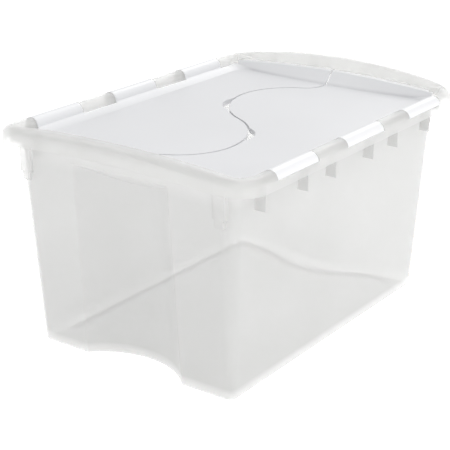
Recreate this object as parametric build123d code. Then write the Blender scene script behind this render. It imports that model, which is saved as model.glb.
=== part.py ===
from build123d import *
import math
import os

# A stackable storage bin: one frosted tub and two interlocking lid halves that clip on to
# hinge rods moulded into the tub's long rims.
# Millimetres. X runs along the bin, Y across it, +Z up, origin under the middle of the floor.

# ---- driving dimensions: tub walls ----
WALL = 2.2                    # thickness of every tub wall
FLOOR_HALF_LENGTH = 237.2     # outside of the walls at floor level
FLOOR_HALF_WIDTH = 158.7
END_DRAFT = 0.077             # how far the end walls lean out, per millimetre of height
SIDE_DRAFT = 0.052            # the same for the long walls
FLOOR_CORNER = 10.0           # corner radius at floor level
RIM_CORNER = 21.0             # corner radius where the walls meet the rim
WALL_TOP = 286.0              # height at which that corner radius is reached
WALL_CREST = 306.0            # the walls run up inside the rim to this height
FOOT_ROUND = 3.0              # rounding round the bottom edge
CREASE_ROUND = 4.0            # rounding along the upright edges of the scoops
SKY = 340.0                   # height above everything, for cutters

# ---- driving dimensions: scooped ends ----
SCOOP_RADIUS = 110.0          # plan radius of the hollow in each end wall
SCOOP_DEPTH = 34.0            # its depth at floor level
SCOOP_LEAN = 0.091            # how far the scooped wall leans out, per millimetre of height
SCOOP_TOP = 275.0             # height at which its sloping roof meets the end wall
SCOOP_ROOF = 32.5             # slope of that roof, degrees from level

# ---- driving dimensions: raised floor panel inside the foot ----
PANEL_RISE = 5.0
PANEL_HALF_LENGTH = 217.0
PANEL_HALF_WIDTH = 146.5
PANEL_CORNER = 26.0
PANEL_WAIST = 36.0            # how far its ends curve in behind the scoops
PANEL_TAPER = 3.0             # how much smaller its top is than its foot, all round

# ---- driving dimensions: rim ----
RIM_HALF_WIDTH = 203.4
RIM_END = 285.0               # half-length at the middle of an end
RIM_END_CORNER = 277.2        # half-length that the bowed end reaches at the sides
RIM_CORNER_OUTER = 47.0
RIM_ROUND = 10.8              # rounding over the outer top edge
RIM_SIDE_TOP = 305.6          # rim height along the hinge sides
RIM_ARCH = 17.4               # extra height at the middle of the ends
RIM_SIDE_BOTTOM = 284.7       # lower edge of the skirt along the hinge sides
RIM_BOTTOM_ARCH = 11.0        # how much higher it is at the middle of the ends
RIM_FOOT = 276.0              # height from which the rim is cut, below the whole skirt
ARCH_SPAN = 191.5             # half-width over which both arches are measured
SIDE_LEDGE = 287.4            # shelf beside each hinge line
END_LEDGE = 303.6             # shelf under the lid lip, at the middle of an end
END_LEDGE_ARCH = 9.0
END_LEDGE_INNER = 248.5       # half-length at which that shelf begins
END_LEDGE_HALF_WIDTH = 168.0
POCKET_FOOT = (290.0, 240.7, 252.0, 16.0)   # height, half-lengths and corner of the lid well
POCKET_HEAD = (331.0, 287.0, 280.0, 30.0)   # the same where its flared ends leave the rim

# ---- driving dimensions: gussets, ribs and lugs ----
WEB = 2.4                     # thickness of the upright webs in and under the rim
WEB_HALF_WIDTH = 187.5        # how far the gussets stand out from the middle of the bin
WEB_FOOT = 252.0              # lower end of the gussets
RIB_PLACES = (-120.0, -45.0, 45.0, 120.0)
RIB_LENGTH = 18.0
LUG_Y = 154.5                 # the nesting lugs stand this far from the middle
LUG_STAND = 4.0               # how far they stand out from the end wall
UPPER_LUG = (18.0, 250.0, 284.0)            # width, foot and head
LOWER_LUG = (12.0, 239.0, 273.0)

# ---- driving dimensions: hinges ----
HINGE_Y = 191.5
HINGE_Z = 294.5
ROD_RADIUS = 3.5
ROD_CLEARANCE = 0.08
KNUCKLE_RADIUS = 11.0
KNUCKLE_WALL = 2.0
KNUCKLE_SPANS = ((-208.0, -118.0), (-46.0, 46.0), (118.0, 208.0))
NOTCH_GAP = 1.2               # end gap between a knuckle and the rim
SWING_GAP = 0.3               # radial gap between a knuckle and the rim

# ---- driving dimensions: lids ----
LID_WALL = 2.0
LID_PANEL_TOP = 288.0
LID_PANEL_HALF_WIDTH = 162.0
LID_BORDER_TOP = 293.4        # height of the border where it meets the hinge line
LID_EDGE = 177.6              # half-width of the lids between the knuckles
LID_LIP_TOP = 306.0           # top of the end lip, at the middle
LID_UNDER_GROW = 1.2          # the lid's underside is this much larger in plan
LID_FOOT = 270.0              # below every part of a lid
# half-lengths at the middle and the side, half-width and corner of the lids' dished form
PANEL_PLAN = (231.0, 243.0, LID_PANEL_HALF_WIDTH, 22.0)
BORDER_PLAN = (236.4, 245.0, HINGE_Y - KNUCKLE_RADIUS + 1.0, 14.0)
CREST_PLAN = (251.2, 250.5, HINGE_Y - KNUCKLE_RADIUS + 1.1, 14.0)
LID_CREST = 310.0             # height of the last of these three plans
LIP_OUTER_PLAN = (255.6, 252.6, 168.0, 12.0)
LIP_INNER_PLAN = (247.5, 245.0, 180.0, 8.0)
LIP_HALF_WIDTH = 165.0
LID_SIDE_CLEAR = 293.5        # above this the lids' long edges are cut back
LID_SIDE_CUT = 171.0          # to this half-width, which lets them swing past the rim
KNUCKLE_REACH = 8.6           # how far inside the hinge line the lid's border stops
HOOK_COUNT = 4                # snap hooks under each knuckle
HOOK = 2.4                    # thickness of a hook
HOOK_MOUTH = 2 * ROD_RADIUS - 0.8           # width of a hook's mouth, under the rod
COVER_FOOT_INNER = -2.6       # lower edges of a knuckle's cover, from its axis
COVER_FOOT_OUTER = -0.8

# ---- driving dimensions: the seam between the lids ----
SEAM_GAP = 3.0
SEAM_FLANGE = 6.0
SEAM_FLANGE_WALL = 1.8
SEAM_FLANGE_REACH = 228.0     # half-length over which that flange runs
SEAM_SMALL = 130.0            # radius through the middle of the S
SEAM_LARGE = 84.0             # radius past its crest
SEAM_EASE = 30.0              # radius where it straightens out
SEAM_CREST = 115.0            # x of its crest
FINGER_RADIUS = 45.6
FINGER_CENTRE = (72.4, 22.9)


def bowed_outline(x_middle, x_side, half_width, corner):
    """Rounded rectangle whose two ends bow between x_side and x_middle."""
    with BuildSketch() as outline:
        with BuildLine():
            Line((-x_side, -half_width), (x_side, -half_width))
            ThreePointArc((x_side, -half_width), (x_middle, 0), (x_side, half_width))
            Line((x_side, half_width), (-x_side, half_width))
            ThreePointArc((-x_side, half_width), (-x_middle, 0), (-x_side, -half_width))
        make_face()
        fillet(outline.vertices(), corner)
    return outline.sketch


def under_arch(side_z, rise):
    """Everything below an arched surface that runs along X."""
    radius = (ARCH_SPAN**2 + rise**2) / (2 * rise)
    arch = Cylinder(radius, 800, rotation=(0, 90, 0))
    return Pos(0, 0, side_z + rise - radius) * arch


def above_arch(side_z, rise, z_top):
    """Everything between an arched surface and z_top."""
    slab = Pos(0, 0, z_top / 2) * Box(800, 500, z_top)
    return slab - under_arch(side_z, rise)


# ---- tub ----
def wall_form(inset, z_low, z_high):
    """The solid block that the tub's four walls bound, shrunk by inset."""
    sections = []
    for z in (z_low, z_high):
        share = z / WALL_TOP
        corner = FLOOR_CORNER + (RIM_CORNER - FLOOR_CORNER) * share - inset
        length = 2 * (FLOOR_HALF_LENGTH + END_DRAFT * z - inset)
        width = 2 * (FLOOR_HALF_WIDTH + SIDE_DRAFT * z - inset)
        sections.append(Pos(0, 0, z) * RectangleRounded(length, width, corner))
    return loft(sections)


def scoops(grow):
    """Cutters for the hollows in the two end walls."""
    height = 2 * SCOOP_TOP
    axis_x = FLOOR_HALF_LENGTH - SCOOP_DEPTH + SCOOP_RADIUS
    lean = math.degrees(math.atan(SCOOP_LEAN))
    column = Cylinder(SCOOP_RADIUS + grow, 2 * height, rotation=(0, lean, 0))
    column = Pos(axis_x, 0, 0) * column
    wall_x = FLOOR_HALF_LENGTH + END_DRAFT * SCOOP_TOP
    roof = Pos(0, 0, -400) * Box(1200, 600, 800)
    lift = grow / math.cos(math.radians(SCOOP_ROOF))
    roof = Pos(wall_x, 0, SCOOP_TOP + lift) * Rot(0, -SCOOP_ROOF, 0) * roof
    far_scoop = column & roof
    return far_scoop + Rot(0, 0, 180) * far_scoop


def floor_outline(inset):
    """Plan of the raised floor panel: its ends curve in behind the scoops."""
    half_length = PANEL_HALF_LENGTH - inset
    half_width = PANEL_HALF_WIDTH - inset
    end_y = half_width - PANEL_CORNER
    curve = (end_y**2 + PANEL_WAIST**2) / (4 * PANEL_WAIST)
    waist_x = half_length - PANEL_WAIST
    mid_x = half_length - PANEL_WAIST / 2
    arc_rise = curve - math.sqrt(curve**2 - (end_y / 2) ** 2)
    corner_mid = PANEL_CORNER * (1 - math.sqrt(0.5))
    quarter_y = end_y * 0.75
    inner_y = end_y * 0.25
    slope = PANEL_WAIST / end_y
    drop = arc_rise / 4

    def side(sx, sy):
        """One quarter of the end curve, from the waist out to the corner's end."""
        bulge_near = (sx * (waist_x + inner_y * slope - drop), sy * inner_y)
        bulge_far = (sx * (mid_x + (quarter_y - end_y / 2) * slope + drop), sy * quarter_y)
        return bulge_near, bulge_far

    with BuildSketch() as outline:
        with BuildLine():
            for sx in (1, -1):
                for sy in (1, -1):
                    near, far = side(sx, sy)
                    waist = (sx * waist_x, 0)
                    middle = (sx * mid_x, sy * end_y / 2)
                    end = (sx * half_length, sy * end_y)
                    turn = (sx * (half_length - corner_mid), sy * (half_width - corner_mid))
                    side_end = (sx * (half_length - PANEL_CORNER), sy * half_width)
                    ThreePointArc(waist, near, middle)
                    ThreePointArc(middle, far, end)
                    ThreePointArc(end, turn, side_end)
            for sy in (1, -1):
                reach = half_length - PANEL_CORNER
                Line((-reach, sy * half_width), (reach, sy * half_width))
        make_face()
    return outline.sketch


def floor_panel_form(z_low, z_high, inset):
    """Tapered block under the skin of the floor's raised panel."""
    low = Pos(0, 0, z_low) * floor_outline(inset)
    high = Pos(0, 0, z_high) * floor_outline(inset + PANEL_TAPER)
    return loft([low, high], ruled=True)


def rim_block(inset, z_low):
    """Solid ring under the rim's outer skin, shrunk by inset all round."""
    plan = bowed_outline(
        RIM_END - inset, RIM_END_CORNER - inset, RIM_HALF_WIDTH - inset, RIM_CORNER_OUTER - inset
    )
    block = extrude(Pos(0, 0, z_low) * plan, SKY - z_low)
    block = block & under_arch(RIM_SIDE_TOP - inset, RIM_ARCH)
    top_z = RIM_SIDE_TOP - inset - 2.5
    top_edges = [edge for edge in block.edges() if edge.center().Z > top_z and edge.length > 20]
    block = fillet(top_edges, RIM_ROUND - inset)
    return block - lid_pocket(inset) + rim_tube(KNUCKLE_RADIUS - inset)


def rim_tube(radius):
    """Round bar that the rim's inner edge follows along the sides and round the corners."""
    bend_x = RIM_END_CORNER - RIM_CORNER_OUTER
    bend_y = RIM_HALF_WIDTH - RIM_CORNER_OUTER
    bend = HINGE_Y - bend_y
    bar = Pos(0, HINGE_Y, HINGE_Z) * Cylinder(radius, 2 * bend_x, rotation=(0, 90, 0))
    ring = Torus(bend, radius)
    quarter = Pos(20, 20, 0) * Box(40, 40, 40)
    elbow = Pos(bend_x, bend_y, HINGE_Z) * (ring & quarter)
    side = bar + elbow + mirror(elbow, Plane.YZ)
    return side + mirror(side, Plane.XZ)


def lid_pocket(inset):
    """Space inside the rim for the lids, above the end shelves."""
    sections = []
    for z, x_middle, x_side, corner in (POCKET_FOOT, POCKET_HEAD):
        plan = bowed_outline(x_middle + inset, x_side + inset, HINGE_Y, corner)
        sections.append(Pos(0, 0, z - inset) * plan)
    well = loft(sections, ruled=True)
    return well & above_arch(END_LEDGE - END_LEDGE_ARCH - inset, END_LEDGE_ARCH, SKY)


def end_shelves():
    """Arched shelves inside the end walls, which the lids' end lips rest on."""
    side_z = END_LEDGE - END_LEDGE_ARCH
    band = Box(2 * RIM_END, 2 * END_LEDGE_HALF_WIDTH, SKY) - Box(2 * END_LEDGE_INNER, 500, SKY)
    band = Pos(0, 0, SKY / 2) * band & wall_form(WALL / 2, 200, WALL_CREST)
    return band & under_arch(side_z, END_LEDGE_ARCH) & above_arch(side_z - WALL, END_LEDGE_ARCH, SKY)


def side_shelf_space(grow):
    """Space over the shelf that runs beside each hinge line."""
    z_low = SIDE_LEDGE - grow
    half_length = FLOOR_HALF_LENGTH + END_DRAFT * WALL_TOP - WALL + grow
    half_width = HINGE_Y - KNUCKLE_RADIUS + grow
    box = Box(2 * half_length, 2 * half_width, SKY - z_low)
    return Pos(0, 0, (SKY + z_low) / 2) * box


def hinge_places():
    """Each knuckle's x-span and side of the bin."""
    return [(low, high, side) for low, high in KNUCKLE_SPANS for side in (-1, 1)]


def notch(low, high, side):
    """Space that one knuckle needs in the rim, over its whole swing."""
    length = high - low + 2 * NOTCH_GAP
    middle = (low + high) / 2
    swing = Cylinder(KNUCKLE_RADIUS + SWING_GAP, length, rotation=(0, 90, 0))
    over = Pos(0, 0, 12) * Box(length, 2 * (RIM_HALF_WIDTH - HINGE_Y + 1), 24)
    relief = Pos(0, 0, 4) * Box(length, 2 * KNUCKLE_RADIUS + 0.1, 17)
    return Pos(middle, side * HINGE_Y, HINGE_Z) * (swing + over + relief)


def rod(low, high, side):
    """Hinge rod that one knuckle clips on to."""
    length = high - low + 2 * NOTCH_GAP + 3
    bar = Cylinder(ROD_RADIUS, length, rotation=(0, 90, 0))
    return Pos((low + high) / 2, side * HINGE_Y, HINGE_Z) * bar


def web_places():
    """The x of every upright web: one beside each end of each knuckle."""
    offset = NOTCH_GAP + WEB / 2
    return [x for low, high in KNUCKLE_SPANS for x in (low - offset, high + offset)]


def bulkheads():
    """Webs that close the rim at each notch and run down the wall as gussets."""
    inside_rim = rim_block(WALL / 2, RIM_SIDE_BOTTOM)
    below = Pos(0, 0, (WEB_FOOT + WALL_TOP) / 2)
    below = below * Box(600, 2 * WEB_HALF_WIDTH, WALL_TOP - WEB_FOOT)
    webs = None
    for x in web_places():
        web = Pos(x, 0, 280) * Box(WEB, 2 * RIM_HALF_WIDTH, 60)
        webs = web if webs is None else webs + web
    return webs & (inside_rim + below)


def end_ribs():
    """Upright ribs inside the hand grips."""
    ribs = None
    for y in RIB_PLACES:
        for side in (-1, 1):
            rib = Pos(side * (RIM_END_CORNER - 3), y, 305) * Box(RIB_LENGTH, WEB, 50)
            ribs = rib if ribs is None else ribs + rib
    above_skirt = above_arch(RIM_SIDE_BOTTOM + 1, RIM_BOTTOM_ARCH, SKY)
    return ribs & rim_block(WALL / 2, RIM_SIDE_BOTTOM) & above_skirt


def nesting_lugs():
    """Stepped lugs near the corners of the end walls, which space nested bins."""
    lugs = None
    for width, foot, head in (UPPER_LUG, LOWER_LUG):
        middle = (foot + head) / 2
        x = FLOOR_HALF_LENGTH + END_DRAFT * middle
        for side_x in (-1, 1):
            for side_y in (-1, 1):
                lug = Box(2 * LUG_STAND, width, head - foot)
                lug = Pos(side_x * x, side_y * LUG_Y, middle) * lug
                lugs = lug if lugs is None else lugs + lug
    return lugs


def foot_edges(block, height):
    """Edges round the flat underside of a block that stands at this height."""
    return [edge for edge in block.edges() if edge.center().Z < height + 0.1]


def crease_edges(block):
    """The long upright edges where the scoops meet the end walls."""
    return [
        edge
        for edge in block.edges()
        if edge.length > 200 and 60 < abs(edge.center().Y) < 90 and abs(edge.center().X) > 200
    ]


def make_tub():
    outside = wall_form(0, 0, WALL_TOP) - scoops(0)
    outside = fillet(crease_edges(outside), CREASE_ROUND)
    outside = fillet(foot_edges(outside, 0), FOOT_ROUND)
    upper_wall = wall_form(0, 200, WALL_CREST)
    hollow = wall_form(WALL, WALL, SKY) - scoops(WALL)
    hollow = fillet(crease_edges(hollow), CREASE_ROUND + 1)
    hollow = fillet(foot_edges(hollow, WALL), FOOT_ROUND - 1)
    raised = floor_panel_form(WALL - 1, WALL + PANEL_RISE, 0)
    dish = floor_panel_form(-1, PANEL_RISE, WALL)
    keep = upper_wall + side_shelf_space(WALL)
    skin = rim_block(0, RIM_FOOT) - (rim_block(WALL, RIM_FOOT - 6) - keep)
    skirt_cut = Pos(0, 0, 250) * Box(700, 500, 100)
    low_arch = under_arch(RIM_SIDE_BOTTOM, RIM_BOTTOM_ARCH) & skirt_cut
    skin = skin - (low_arch - upper_wall - side_shelf_space(WALL))
    tub = outside + skin + bulkheads() + nesting_lugs() + end_ribs()
    tub = tub - side_shelf_space(0)
    tub = tub - hollow + raised - dish + end_shelves()
    for place in hinge_places():
        tub = tub - notch(*place)
    for place in hinge_places():
        tub = tub + rod(*place)
    return tub


# ---- lids ----
def grown_plan(plan, grow):
    """One of the lids' bowed outlines, made larger by grow all round."""
    x_middle, x_side, half_width, corner = plan
    return bowed_outline(x_middle + grow, x_side + grow, half_width + grow, corner)


def lid_form(drop, grow):
    """Block under a lid's surface: flat panel, rising borders and upright ends."""
    sections = [
        Pos(0, 0, LID_PANEL_TOP - drop) * grown_plan(PANEL_PLAN, grow),
        Pos(0, 0, LID_BORDER_TOP - drop) * grown_plan(BORDER_PLAN, grow),
        Pos(0, 0, LID_CREST - drop) * grown_plan(CREST_PLAN, grow),
    ]
    return loft(sections, ruled=True)


def seam_side(offset):
    """Region on the rear lid's side of the S-shaped seam, offset from its centre line."""
    small = SEAM_SMALL
    large = SEAM_LARGE
    ease = SEAM_EASE
    crest = (SEAM_CREST, -math.sqrt(small**2 - SEAM_CREST**2))
    lean = math.atan2(-crest[1], crest[0])
    large_centre = (crest[0], crest[1] + small - large)
    ease_centre_x = crest[0] + math.sqrt((large + ease) ** 2 - (ease - large_centre[1]) ** 2)
    reach = 300.0

    def half(sign, grow):
        """Points of one half of the seam, from the middle out; sign mirrors it."""
        small_r = small + grow
        large_r = large + grow
        ease_r = ease - grow
        dx = ease_centre_x - crest[0]
        dy = ease - large_centre[1]
        span = large + ease
        start = (crest[0] - small_r * math.cos(lean), crest[1] + small_r * math.sin(lean))
        mid_turn = (math.pi / 2 + (math.pi - lean)) / 2
        small_mid = (crest[0] + small_r * math.cos(mid_turn), crest[1] + small_r * math.sin(mid_turn))
        crown = (crest[0], crest[1] + small_r)
        end_turn = math.atan2(dy, dx)
        large_turn = (math.pi / 2 + end_turn) / 2
        large_mid = (
            large_centre[0] + large_r * math.cos(large_turn),
            large_centre[1] + large_r * math.sin(large_turn),
        )
        join = (large_centre[0] + dx / span * large_r, large_centre[1] + dy / span * large_r)
        ease_turn = (end_turn + math.pi + 1.5 * math.pi) / 2
        ease_mid = (
            ease_centre_x + ease_r * math.cos(ease_turn),
            ease + ease_r * math.sin(ease_turn),
        )
        foot = (ease_centre_x, ease - ease_r)
        points = [start, small_mid, crown, large_mid, join, ease_mid, foot, (reach, foot[1])]
        return [(sign * x, sign * y) for x, y in points]

    right = half(1, offset)
    left = half(-1, -offset)
    with BuildSketch() as region:
        with BuildLine():
            for half_points in (right, left):
                for first in (0, 2, 4):
                    ThreePointArc(*half_points[first : first + 3])
                Line(half_points[6], half_points[7])
            far = 230.0
            Line(right[7], (reach, far))
            Line((reach, far), (-reach, far))
            Line((-reach, far), left[7])
        make_face()
    return region.sketch


def finger_notch(radius, z_low, z_high):
    """Round cutter for the finger opening beside the seam."""
    height = z_high - z_low
    x, y = FINGER_CENTRE
    return Pos(x, y, z_low + height / 2) * Cylinder(radius, height)


def seam_flange():
    """Lip that hangs under the panel along the seam and the finger opening."""
    z_low = LID_PANEL_TOP - LID_WALL - SEAM_FLANGE + 1
    height = LID_PANEL_TOP - 0.5 - z_low
    gap = SEAM_GAP / 2
    near = extrude(Pos(0, 0, z_low) * seam_side(gap), height)
    far = extrude(Pos(0, 0, z_low) * seam_side(gap + SEAM_FLANGE_WALL), height)
    lip = near - far
    outer_radius = FINGER_RADIUS + SEAM_FLANGE_WALL
    round_lip = finger_notch(outer_radius, z_low, z_low + height) & near
    lip = lip + round_lip - finger_notch(FINGER_RADIUS, z_low - 1, z_low + height + 1)
    reach = Pos(0, 0, z_low) * Box(2 * SEAM_FLANGE_REACH, 2 * LID_PANEL_HALF_WIDTH, 40)
    return lip & reach


def knuckle(low, high):
    """Cover and snap hooks that ride on one hinge rod, about the axis at y = z = 0."""
    length = high - low
    over = length + 4
    outer = Cylinder(KNUCKLE_RADIUS, length, rotation=(0, 90, 0))
    inner = Cylinder(KNUCKLE_RADIUS - KNUCKLE_WALL, over, rotation=(0, 90, 0))
    below_inner = Pos(0, -10, COVER_FOOT_INNER - 10) * Box(over, 20, 20)
    below_outer = Pos(0, 10, COVER_FOOT_OUTER - 10) * Box(over, 20, 20)
    cover = outer - inner - below_inner - below_outer
    hooks = None
    for index in range(HOOK_COUNT):
        x = -length / 2 + HOOK / 2 + index * (length - HOOK) / (HOOK_COUNT - 1)
        disc = Pos(x, 0, 0) * Cylinder(KNUCKLE_RADIUS - 1, HOOK, rotation=(0, 90, 0))
        hooks = disc if hooks is None else hooks + disc
    bore = Cylinder(ROD_RADIUS + ROD_CLEARANCE, over, rotation=(0, 90, 0))
    mouth = Pos(0, 0, -8) * Box(over, HOOK_MOUTH, 16)
    under = Pos(0, 0, -15.5) * Box(over, 40, 20)
    outside = Pos(0, 12, -10) * Box(over, 8, 20)
    hooks = hooks - under - outside
    body = (cover + hooks) - bore - mouth
    return Pos((low + high) / 2, 0, 0) * body


def lid_reach():
    """Where the lids' borders may run: to the hinge line only beside a knuckle."""
    reach = Box(2 * RIM_END, 2 * LID_EDGE, 60)
    for low, high in KNUCKLE_SPANS:
        strip = Box(high - low, 2 * (HINGE_Y - KNUCKLE_REACH), 60)
        reach = reach + Pos((low + high) / 2, 0, 0) * strip
    return Pos(0, 0, LID_PANEL_TOP) * reach


def end_lips():
    """Arched lips at both ends of the lids, which rest on the tub's end shelves."""
    lip_side = LID_LIP_TOP - END_LEDGE_ARCH
    plan = grown_plan(LIP_OUTER_PLAN, 0) - grown_plan(LIP_INNER_PLAN, 0)
    lip = extrude(Pos(0, 0, LID_FOOT) * plan, SKY - LID_FOOT)
    lip = lip & under_arch(lip_side, END_LEDGE_ARCH)
    lip = lip & above_arch(lip_side - LID_WALL, END_LEDGE_ARCH, SKY)
    return lip & (Pos(0, 0, LID_LIP_TOP) * Box(2 * RIM_END, 2 * LIP_HALF_WIDTH, 60))


def make_rear_lid():
    shell = lid_form(LID_WALL, LID_UNDER_GROW) - lid_form(0, 0)
    shell = shell & under_arch(LID_LIP_TOP - END_LEDGE_ARCH, END_LEDGE_ARCH) & lid_reach()
    above = Box(2 * RIM_END, 500, 21) - Box(2 * RIM_END, 2 * LID_SIDE_CUT, 30)
    shell = shell - Pos(0, 0, LID_SIDE_CLEAR + 10.5) * above
    dish = lid_form(0, 0) & Pos(0, 0, LID_PANEL_TOP + 12) * Box(2 * RIM_END, 500, 24.2)
    panel = shell + end_lips() - dish
    lid = panel & extrude(Pos(0, 0, LID_FOOT) * seam_side(SEAM_GAP / 2), 50)
    lid = lid - finger_notch(FINGER_RADIUS, LID_FOOT, LID_FOOT + 50)
    lid = lid + seam_flange()
    for low, high in KNUCKLE_SPANS:
        lid = lid + Pos(0, HINGE_Y, HINGE_Z) * knuckle(low, high)
    return lid


def main():
    os.makedirs("parts", exist_ok=True)
    rear_lid = make_rear_lid()
    export_step(rear_lid, "parts/rear_lid.step")
    export_step(Rot(0, 0, 180) * rear_lid, "parts/front_lid.step")
    export_step(make_tub(), "parts/tub.step")


if __name__ == "__main__":
    main()
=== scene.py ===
import math

import bpy
from mathutils import Matrix, Vector

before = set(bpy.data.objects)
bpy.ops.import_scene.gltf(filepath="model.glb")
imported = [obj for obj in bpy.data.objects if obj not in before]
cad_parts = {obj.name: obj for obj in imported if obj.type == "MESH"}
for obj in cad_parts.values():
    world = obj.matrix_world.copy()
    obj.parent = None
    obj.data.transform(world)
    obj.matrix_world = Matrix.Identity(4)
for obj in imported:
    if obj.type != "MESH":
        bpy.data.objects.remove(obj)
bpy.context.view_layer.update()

# ---- camera: where it stands, as angles round the bin ----
VIEW_AZIMUTH = -54.578         # degrees; 0 looks along +Y
VIEW_ELEVATION = 20.567
VIEW_DISTANCE = 1.85986
VIEW_ROLL = 0.264
LENS_MM = 104.49
SENSOR_MM = 36.0
CLIP_END = 100.0
AIM = Vector((-0.00959, 0.01488, 0.13025))

# ---- heights where painted light changes the plastics' colours, in metres above the ground ----
# painted glow of light from the floor: full at the bottom of the wall, gone by the second
# height
FOOT_GLOW_FULL, FOOT_GLOW_GONE = 0.0075, 0.016
# painted top light on the rim: starts at the first height, full at the second
RIM_LIGHT_START, RIM_LIGHT_FULL = 0.262, 0.29
# painted highlight on the lids' raised edge: starts at the panel top, full at the second height
LID_PANEL_TOP, LID_HIGHLIGHT_FULL = 0.2883, 0.292

# ---- tub walls ----
WALL_ALPHA = 0.36              # of each skin; a wall has two
SCATTER_WEIGHT = 0.35
SCATTER_DEPTH = 0.012
WAVE_HEIGHT = 0.0006           # slow swell of a moulded face
SKIN_HEIGHT = 0.0001           # fine texture of a moulded face

# ---- stage and light ----
FLOOR_SIZE = 60.0
FLOOR_DROP = 0.0002            # keeps the floor just clear of the bin's foot
FLOOR_GLOW = 0.5               # the floor is lit a little from below
SURROUND_LEFT, SURROUND_RIGHT = 0.70, 0.98
LIGHT_TARGET = Vector((0, 0, 0.2))
KEY_PLACE, KEY_SIZE, KEY_POWER = (-0.6, -2.2, 2.6), 1.4, 20
BACK_PLACE, BACK_SIZE, BACK_POWER = (2.2, 0.5, 1.9), 1.2, 12


def add_camera():
    data = bpy.data.cameras.new("camera")
    camera = bpy.data.objects.new("camera", data)
    bpy.context.collection.objects.link(camera)
    turn = math.radians(VIEW_AZIMUTH)
    rise = math.radians(VIEW_ELEVATION)
    flat = math.cos(rise)
    back = Vector((math.sin(turn) * flat, -math.cos(turn) * flat, math.sin(rise)))
    level = back.to_track_quat("Z", "Y").to_matrix().to_4x4()
    roll = Matrix.Rotation(math.radians(VIEW_ROLL), 4, "Z")
    camera.matrix_world = Matrix.Translation(AIM + VIEW_DISTANCE * back) @ level @ roll
    data.lens = LENS_MM
    data.sensor_width = SENSOR_MM
    data.clip_end = CLIP_END
    bpy.context.scene.camera = camera


add_camera()


# ---- node helpers ----
class Material:
    """A node material, with short ways to add and join nodes."""

    def __init__(self, name):
        self.data = bpy.data.materials.new(name)
        self.data.use_nodes = True
        self.tree = self.data.node_tree
        self.shader = self.tree.nodes["Principled BSDF"]
        self.coords = self.tree.nodes.new("ShaderNodeTexCoord").outputs["Object"]

    def set(self, **values):
        for name, value in values.items():
            self.shader.inputs[name.replace("_", " ")].default_value = value

    def join(self, output, target):
        self.tree.links.new(output, target)

    def noise(self, scale, detail=2.0, roughness=0.5, stretch=(1, 1, 1)):
        """Noise in metres of object space, squeezed along each axis by stretch."""
        mapping = self.tree.nodes.new("ShaderNodeMapping")
        mapping.inputs["Scale"].default_value = stretch
        self.join(self.coords, mapping.inputs["Vector"])
        node = self.tree.nodes.new("ShaderNodeTexNoise")
        node.inputs["Scale"].default_value = scale
        node.inputs["Detail"].default_value = detail
        node.inputs["Roughness"].default_value = roughness
        self.join(mapping.outputs["Vector"], node.inputs["Vector"])
        return node.outputs["Fac"]

    def ramp(self, value, low, high, start=0.3, end=0.7):
        """Colour that runs from low to high as value runs from start to end."""
        node = self.tree.nodes.new("ShaderNodeValToRGB")
        first, last = node.color_ramp.elements
        first.position, first.color = start, (*low, 1.0)
        last.position, last.color = end, (*high, 1.0)
        self.join(value, node.inputs["Fac"])
        return node.outputs["Color"]

    def span(self, value, low, high):
        """Number that runs from low to high over the noise's usual range."""
        node = self.tree.nodes.new("ShaderNodeMapRange")
        node.inputs["From Min"].default_value = 0.3
        node.inputs["From Max"].default_value = 0.7
        node.inputs["To Min"].default_value = low
        node.inputs["To Max"].default_value = high
        self.join(value, node.inputs["Value"])
        return node.outputs["Result"]

    def climb(self, bottom, top, low, high):
        """Colour that runs from low to high with height between bottom and top."""
        split = self.tree.nodes.new("ShaderNodeSeparateXYZ")
        self.join(self.coords, split.inputs["Vector"])
        node = self.tree.nodes.new("ShaderNodeMapRange")
        node.inputs["From Min"].default_value = bottom
        node.inputs["From Max"].default_value = top
        self.join(split.outputs["Z"], node.inputs["Value"])
        return self.ramp(node.outputs["Result"], low, high, 0.0, 1.0)

    def multiply(self, first, second):
        node = self.tree.nodes.new("ShaderNodeMix")
        node.data_type = "RGBA"
        node.blend_type = "MULTIPLY"
        node.inputs["Factor"].default_value = 1.0
        self.join(first, node.inputs["A"])
        self.join(second, node.inputs["B"])
        return node.outputs["Result"]

    def bump(self, height, strength, distance, under=None):
        node = self.tree.nodes.new("ShaderNodeBump")
        node.inputs["Strength"].default_value = strength
        node.inputs["Distance"].default_value = distance
        self.join(height, node.inputs["Height"])
        if under is not None:
            self.join(under, node.inputs["Normal"])
        return node.outputs["Normal"]

    def drive(self, **sources):
        for name, output in sources.items():
            self.join(output, self.shader.inputs[name.replace("_", " ")])


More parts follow.
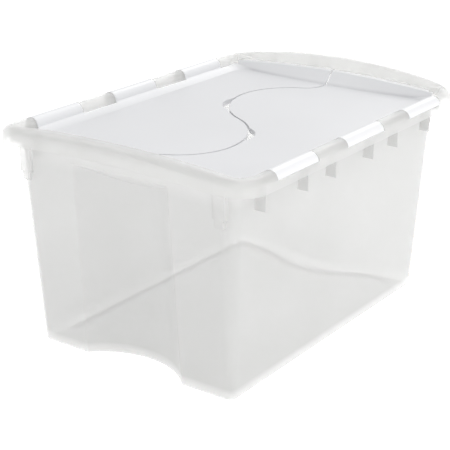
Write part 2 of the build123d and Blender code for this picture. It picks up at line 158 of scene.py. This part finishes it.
# ---- materials ----
def frosted_plastic():
    """Natural polypropylene: milky, grey in its depth, with a moulded satin skin, a painted
    glow at its foot and painted top light on its rim.
    """
    look = Material("frosted_plastic")
    cloud = look.noise(7.0, detail=3.0)
    flow = look.noise(26.0, detail=2.0, stretch=(1, 1, 0.25))
    skin = look.noise(1500.0, detail=3.0, roughness=0.6)
    wave = look.noise(18.0, detail=1.0)
    swell = look.bump(wave, 0.25, WAVE_HEIGHT)
    mottle = look.ramp(cloud, (0.95, 0.95, 0.945), (1.0, 1.0, 1.0))
    # painted glow: the wall's bottom band is painted full white for light from the floor
    # scattered up through the thick foot; above it the wall keeps 0.75 of its colour
    foot = look.climb(FOOT_GLOW_FULL, FOOT_GLOW_GONE, (1.0, 1.0, 0.99), (0.75, 0.75, 0.74))
    # painted top light: the rim is painted lighter than the walls below it, which keep 0.85 of
    # its brightness
    rim = look.climb(RIM_LIGHT_START, RIM_LIGHT_FULL, (0.85, 0.85, 0.85), (1.0, 1.0, 1.0))
    look.drive(
        Base_Color=look.multiply(look.multiply(mottle, foot), rim),
        Roughness=look.span(flow, 0.29, 0.37),  # a low of 0.27 left denoiser marks
        Normal=look.bump(skin, 0.12, SKIN_HEIGHT, swell),
    )
    look.set(
        IOR=1.45,
        Alpha=WALL_ALPHA,
        Subsurface_Weight=SCATTER_WEIGHT,
        Subsurface_Scale=SCATTER_DEPTH,
        Subsurface_Radius=(1.0, 1.0, 0.97),
    )
    return look.data


def white_plastic():
    """Opaque lid plastic: cool white, smooth, with a faint moulded texture and a painted
    highlight on its raised edge.
    """
    look = Material("white_plastic")
    cloud = look.noise(5.0, detail=2.0)
    skin = look.noise(1900.0, detail=2.0, roughness=0.6)
    wave = look.noise(12.0, detail=1.0)
    swell = look.bump(wave, 0.2, WAVE_HEIGHT)
    look.drive(
        Base_Color=look.multiply(
            look.ramp(cloud, (0.96, 0.96, 0.96), (1.0, 1.0, 1.0)),
            # painted highlight: the raised edge band and knuckles are painted brighter than the
            # flat panel
            look.climb(LID_PANEL_TOP, LID_HIGHLIGHT_FULL, (0.73, 0.735, 0.752), (0.84, 0.845, 0.86)),
        ),
        Roughness=look.span(cloud, 0.30, 0.38),
        Normal=look.bump(skin, 0.10, SKIN_HEIGHT, swell),
    )
    look.set(IOR=1.49)
    return look.data


def dress(node, material):
    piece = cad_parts[node]
    piece.data.materials.clear()
    piece.data.materials.append(material)


FROSTED = frosted_plastic()
WHITE = white_plastic()
dress("tub", FROSTED)
dress("front_lid", WHITE)
dress("rear_lid", WHITE)


# ---- stage and light ----
def add_stage():
    bpy.ops.mesh.primitive_plane_add(size=FLOOR_SIZE, location=(0, 0, -FLOOR_DROP))
    floor = bpy.context.object
    floor.name = "floor"
    look = Material("floor")
    look.drive(Base_Color=look.ramp(look.noise(3.0), (0.93, 0.93, 0.93), (0.95, 0.95, 0.95)))
    look.set(Roughness=0.9, Emission_Color=(1, 1, 1, 1), Emission_Strength=FLOOR_GLOW)
    floor.data.materials.append(look.data)


def add_area(name, place, size, power):
    data = bpy.data.lights.new(name, "AREA")
    data.shape = "SQUARE"
    data.size = size
    data.energy = power
    light = bpy.data.objects.new(name, data)
    bpy.context.collection.objects.link(light)
    light.location = place
    aim = Vector(place) - LIGHT_TARGET
    light.rotation_euler = aim.to_track_quat("Z", "Y").to_euler()


def add_world(left, right):
    """White surround whose brightness runs from left at -X to right at +X."""
    world = bpy.data.worlds.new("studio")
    bpy.context.scene.world = world
    world.use_nodes = True
    tree = world.node_tree
    sky = tree.nodes["Background"]
    sky.inputs["Color"].default_value = (1, 1, 1, 1)
    side = tree.nodes.new("ShaderNodeSeparateXYZ")
    coords = tree.nodes.new("ShaderNodeTexCoord")
    tree.links.new(coords.outputs["Generated"], side.inputs["Vector"])
    fall = tree.nodes.new("ShaderNodeMapRange")
    fall.inputs["From Min"].default_value = -1.0
    fall.inputs["To Min"].default_value = left
    fall.inputs["To Max"].default_value = right
    tree.links.new(side.outputs["X"], fall.inputs["Value"])
    tree.links.new(fall.outputs["Result"], sky.inputs["Strength"])


add_stage()
add_world(SURROUND_LEFT, SURROUND_RIGHT)
add_area("key", KEY_PLACE, KEY_SIZE, KEY_POWER)
add_area("back", BACK_PLACE, BACK_SIZE, BACK_POWER)
bpy.context.scene.view_settings.view_transform = "Standard"
